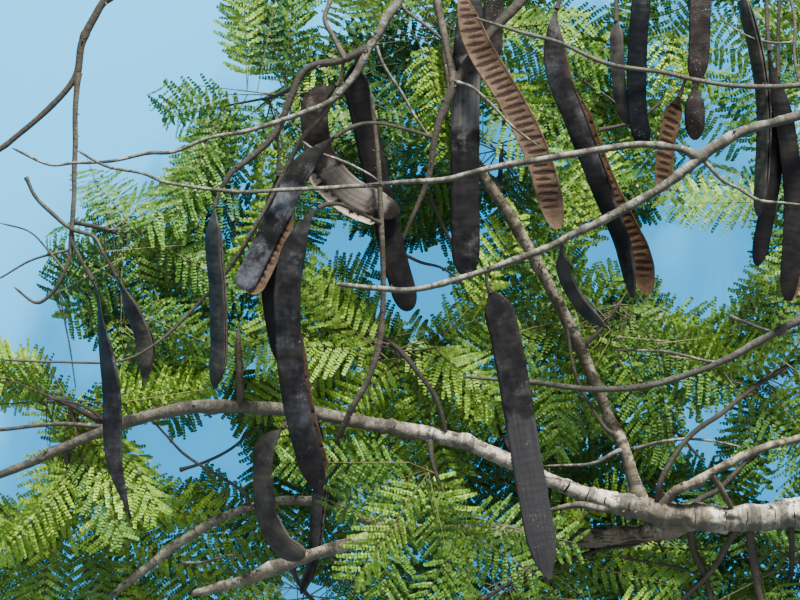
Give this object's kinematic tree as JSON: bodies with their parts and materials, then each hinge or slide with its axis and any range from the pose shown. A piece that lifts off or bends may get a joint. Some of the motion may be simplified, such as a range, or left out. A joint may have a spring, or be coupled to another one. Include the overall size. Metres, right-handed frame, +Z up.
{
  "type": "cut tree bough with seed pods",
  "caption": "Leafy bough of a flame tree, cut off at its thick end and lying on its leaves, with long flat woody seed pods hanging over its limbs.",
  "frame": {"origin": "on the ground, under the middle of the bough's outline", "axes": "+X along the bough towards its cut end, +Z up from the ground it lies on, +Y across the bough towards the limb that carries most pods"},
  "size_m": [1.9267, 1.6001, 0.3628],
  "materials": {
    "bark": "rough pale grey bark",
    "young_bark": "smoother brown bark",
    "pod": "dry black-brown husk, satin",
    "pod_inside": "matt tan lining of an open pod",
    "leaf": "soft green leaves"
  },
  "bodies": {
    "root": {"bed_left": "leaf", "bed_low": "leaf", "bed_low_right": "leaf", "bed_middle": "leaf", "bed_top": "leaf", "cross_twig": "young_bark", "dark_branch": "young_bark", "fine_twig": "young_bark", "front_branch": "bark", "front_fork": "young_bark", "leaves_bottom": "leaf", "leaves_bottom_right": "leaf", "leaves_left": "leaf", "leaves_left_high": "leaf", "leaves_low_left": "leaf", "leaves_low_middle": "leaf", "leaves_middle": "leaf", "leaves_right": "leaf", "leaves_right_high": "leaf", "leaves_right_middle": "leaf", "leaves_top_left": "leaf", "leaves_top_middle": "leaf", "leaves_top_right": "leaf", "left_branch": "young_bark", "left_hanger": "young_bark", "left_twig": "young_bark", "low_limb": "bark", "low_side_limb": "young_bark", "main_bough": "bark", "middle_shoot": "young_bark", "pod_behind_left": "pod", "pod_behind_shoot": "pod", "pod_blue_behind": "pod", "pod_blue_black": "pod", "pod_dark_middle": "pod", "pod_front_long": "pod", "pod_hung_left": "pod", "pod_left_long": "pod", "pod_left_short": "pod", "pod_low_hooked": "pod", "pod_low_narrow": "pod", "pod_narrow_left": "pod", "pod_necked": "pod", "pod_open_valve": "pod_inside", "pod_right_edge_on": "pod", "pod_right_long": "pod", "pod_right_short": "pod", "pod_small_behind": "pod", "pod_small_open": "pod", "pod_speckled": "pod", "pod_split": "pod", "pod_top_behind": "pod", "pod_twisted": "pod", "right_branch": "young_bark", "right_limb": "young_bark", "top_fork": "young_bark", "top_limb": "bark", "top_riser": "bark", "upper_left_branch": "young_bark", "upright_limb": "bark"}
  },
  "joints": []
}
